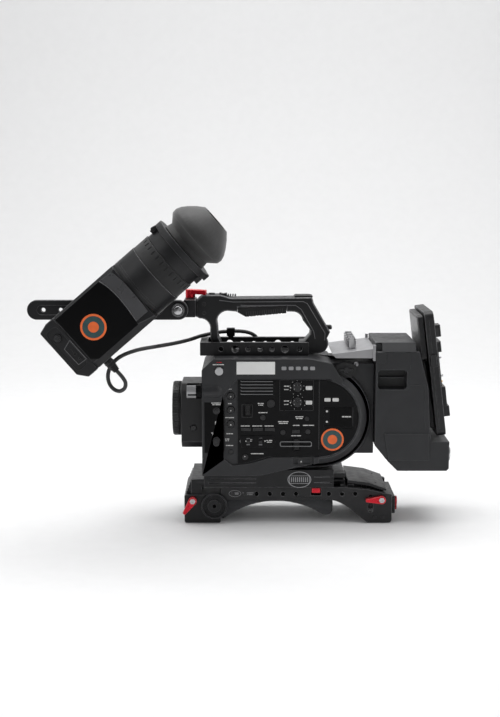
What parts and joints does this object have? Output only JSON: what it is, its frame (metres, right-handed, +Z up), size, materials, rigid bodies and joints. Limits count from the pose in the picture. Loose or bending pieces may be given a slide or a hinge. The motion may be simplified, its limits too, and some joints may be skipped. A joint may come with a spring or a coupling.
{
  "type": "cinema camera rig",
  "caption": "Shoulder-mount cinema camera with top handle, tilting viewfinder on a sliding arm, rear extension with battery plate, and a shoulder base with rod clamps",
  "frame": {"origin": "centre of the tripod thread in the underside of the front block, on the ground plane", "axes": "+Z up, lens looks along -X, rear along +X, operator's side with the controls faces -Y"},
  "size_m": [0.5504, 0.2164, 0.4161],
  "materials": {
    "casing": "fine moulded texture",
    "control_black": "smooth satin",
    "black_metal": "black anodised",
    "grey_metal": "dark grey anodised",
    "red_metal": "red anodised",
    "rubber_black": "soft matt",
    "silver_metal": "machined",
    "steel": "zinc plated",
    "circuit": "lacquered board",
    "lens_glass": "coated",
    "cable_jacket": "satin",
    "pad_grey": "dense foam skin"
  },
  "bodies": {
    "base": {"base_plate": "black_metal", "side_plates": "grey_metal", "rear_cover": "grey_metal", "front_block": "black_metal", "shoulder_pad": "pad_grey", "rosettes": "black_metal", "base_screws": "steel"},
    "rear_bracket": {"rear_bracket": "black_metal"},
    "front_lever": {"front_lever": "red_metal"},
    "rear_lever": {"rear_lever": "red_metal"},
    "back_lever": {"back_lever": "red_metal"},
    "release_button": {"release_button": "red_metal"},
    "camera": {"camera_plate": "black_metal", "shell_left": "casing", "shell_right": "casing", "control_panel": "control_black", "sensor_block": "circuit", "lens_mount": "casing", "panel_buttons": "control_black", "deck_plate": "black_metal", "handle_frame": "black_metal", "handle_grip": "rubber_black", "rail_clamp": "black_metal", "cable_clip": "black_metal", "evf_cable": "cable_jacket", "extension_body": "casing", "extension_deck": "silver_metal", "connectors": "silver_metal", "battery_plate": "grey_metal"},
    "evf_arm": {"evf_arm": "black_metal"},
    "evf_carriage": {"evf_carriage": "black_metal"},
    "viewfinder": {"evf_housing": "casing", "evf_end_cap": "control_black", "evf_barrel": "casing", "evf_optics": "lens_glass", "cable_plug": "rubber_black"},
    "media_door": {"media_door": "control_black"},
    "mount_cap": {"mount_cap": "black_metal"},
    "nd_dial": {"nd_dial": "grey_metal"},
    "lens_release": {"lens_release": "control_black"},
    "rec_button": {"rec_button": "silver_metal"},
    "assign_button_1": {"assign_button_1": "control_black"},
    "assign_button_2": {"assign_button_2": "control_black"},
    "assign_button_3": {"assign_button_3": "control_black"},
    "audio_dial_1": {"audio_dial_1": "control_black"},
    "audio_dial_2": {"audio_dial_2": "control_black"},
    "menu_dial": {"menu_dial": "control_black"},
    "iris_wheel": {"iris_wheel": "control_black"},
    "power_switch": {"power_switch": "control_black"},
    "gain_switch": {"gain_switch": "control_black"},
    "white_balance_switch": {"white_balance_switch": "control_black"},
    "handle_button": {"handle_button": "red_metal"},
    "zoom_rocker": {"zoom_rocker": "control_black"},
    "rail_lever": {"rail_lever": "red_metal"},
    "pivot_knob": {"pivot_knob": "silver_metal"},
    "evf_joystick": {"evf_joystick": "control_black"},
    "focus_ring": {"focus_ring": "rubber_black"},
    "eyepiece": {"eyepiece": "grey_metal"},
    "eyecup": {"eyecup": "rubber_black"},
    "battery_release": {"battery_release": "grey_metal"}
  },
  "joints": [
    {"name": "camera_slide", "type": "slide", "parent": "base", "child": "camera", "axis": [1, 0, 0], "range_m": [-0.04, 0]},
    {"name": "rear_bracket_lift", "type": "slide", "parent": "base", "child": "rear_bracket", "axis": [0, 0, 1], "range_m": [-0.006, 0.006]},
    {"name": "front_lever_turn", "type": "hinge", "parent": "base", "child": "front_lever", "pos_m": [-0.013, -0.048, 0.0305], "axis": [0, 1, 0], "range_deg": [0, 100]},
    {"name": "rear_lever_turn", "type": "hinge", "parent": "base", "child": "rear_lever", "pos_m": [0.235, -0.048, 0.032], "axis": [0, 1, 0], "range_deg": [-85, 30]},
    {"name": "back_lever_turn", "type": "hinge", "parent": "rear_bracket", "child": "back_lever", "pos_m": [0.254, -0.0135, 0.022], "axis": [1, 0, 0], "range_deg": [-100, 100]},
    {"name": "release_button_press", "type": "slide", "parent": "base", "child": "release_button", "axis": [0, 1, 0], "range_m": [0, 0.002], "stiffness_N_per_m": 400},
    {"name": "rec_button_press", "type": "slide", "parent": "camera", "child": "rec_button", "axis": [0, 1, 0], "range_m": [0, 0.0008], "stiffness_N_per_m": 400},
    {"name": "assign_button_1_press", "type": "slide", "parent": "camera", "child": "assign_button_1", "axis": [0, 1, 0], "range_m": [0, 0.0008], "stiffness_N_per_m": 400},
    {"name": "assign_button_2_press", "type": "slide", "parent": "camera", "child": "assign_button_2", "axis": [0, 1, 0], "range_m": [0, 0.0008], "stiffness_N_per_m": 400},
    {"name": "assign_button_3_press", "type": "slide", "parent": "camera", "child": "assign_button_3", "axis": [0, 1, 0], "range_m": [0, 0.0008], "stiffness_N_per_m": 400},
    {"name": "audio_dial_1_turn", "type": "hinge", "parent": "camera", "child": "audio_dial_1", "pos_m": [0.1235, -0.0546, 0.183], "axis": [0, 1, 0], "range_deg": [-140, 140]},
    {"name": "audio_dial_2_turn", "type": "hinge", "parent": "camera", "child": "audio_dial_2", "pos_m": [0.1235, -0.0546, 0.163], "axis": [0, 1, 0], "range_deg": [-140, 140]},
    {"name": "menu_dial_turn", "type": "hinge", "parent": "camera", "child": "menu_dial", "pos_m": [0.1225, -0.0505, 0.107], "axis": [1, 0, 0], "continuous": true},
    {"name": "iris_wheel_turn", "type": "hinge", "parent": "camera", "child": "iris_wheel", "pos_m": [0.0595, -0.0505, 0.1525], "axis": [1, 0, 0], "continuous": true},
    {"name": "power_switch_slide", "type": "slide", "parent": "camera", "child": "power_switch", "axis": [1, 0, 0], "range_m": [0, 0.008]},
    {"name": "gain_switch_slide", "type": "slide", "parent": "camera", "child": "gain_switch", "axis": [0, 0, 1], "range_m": [-0.003, 0.003]},
    {"name": "white_balance_switch_slide", "type": "slide", "parent": "camera", "child": "white_balance_switch", "axis": [0, 0, 1], "range_m": [-0.003, 0.003]},
    {"name": "media_door_open", "type": "hinge", "parent": "camera", "child": "media_door", "pos_m": [0.194, -0.0539, 0.142], "axis": [0, 0, 1], "range_deg": [0, 95]},
    {"name": "mount_cap_pull", "type": "slide", "parent": "camera", "child": "mount_cap", "axis": [-1, 0, 0], "range_m": [0, 0.03]},
    {"name": "nd_dial_turn", "type": "hinge", "parent": "camera", "child": "nd_dial", "pos_m": [-0.01, -0.049, 0.177], "axis": [1, 0, 0], "range_deg": [0, 150]},
    {"name": "lens_release_press", "type": "slide", "parent": "camera", "child": "lens_release", "axis": [0, 1, 0], "range_m": [0, 0.0012], "stiffness_N_per_m": 400},
    {"name": "handle_button_press", "type": "slide", "parent": "camera", "child": "handle_button", "axis": [0, 0, -1], "range_m": [0, 0.0008], "stiffness_N_per_m": 400},
    {"name": "zoom_rocker_tilt", "type": "hinge", "parent": "camera", "child": "zoom_rocker", "pos_m": [0.027, 0, 0.295], "axis": [0, 1, 0], "range_deg": [-7, 7], "stiffness_Nm_per_rad": 0.05},
    {"name": "rail_lever_turn", "type": "hinge", "parent": "camera", "child": "rail_lever", "pos_m": [-0.0163, -0.002, 0.295], "axis": [0, 0, 1], "range_deg": [-90, 0]},
    {"name": "battery_release_press", "type": "slide", "parent": "camera", "child": "battery_release", "axis": [0, 1, 0], "range_m": [0, 0.002], "stiffness_N_per_m": 400},
    {"name": "arm_pivot", "type": "hinge", "parent": "camera", "child": "evf_arm", "pos_m": [-0.03, -0.04, 0.2815], "axis": [0, 1, 0], "range_deg": [-20, 45], "deforming": ["evf_cable"]},
    {"name": "pivot_knob_turn", "type": "hinge", "parent": "camera", "child": "pivot_knob", "pos_m": [-0.03, -0.047, 0.2815], "axis": [0, 1, 0], "continuous": true},
    {"name": "evf_slide", "type": "slide", "parent": "evf_arm", "child": "evf_carriage", "axis": [1, 0, 0], "range_m": [-0.075, 0.045]},
    {"name": "evf_tilt", "type": "hinge", "parent": "evf_carriage", "child": "viewfinder", "pos_m": [-0.115, -0.0668, 0.2815], "axis": [0, 1, 0], "range_deg": [-45, 55]},
    {"name": "focus_ring_turn", "type": "hinge", "parent": "viewfinder", "child": "focus_ring", "pos_m": [-0.04708, -0.1048, 0.34054], "axis": [0.7547, 0, 0.6561], "range_deg": [-60, 60]},
    {"name": "evf_joystick_press", "type": "slide", "parent": "viewfinder", "child": "evf_joystick", "axis": [0, 1, 0], "range_m": [0, 0.0008], "stiffness_N_per_m": 400},
    {"name": "eyepiece_flip", "type": "hinge", "parent": "viewfinder", "child": "eyepiece", "pos_m": [-0.05556, -0.1048, 0.38856], "axis": [0, 1, 0], "range_deg": [-115, 0]},
    {"name": "eyecup_swivel", "type": "hinge", "parent": "eyepiece", "child": "eyecup", "pos_m": [-0.01213, -0.1048, 0.37092], "axis": [0.7547, 0, 0.6561], "continuous": true}
  ]
}
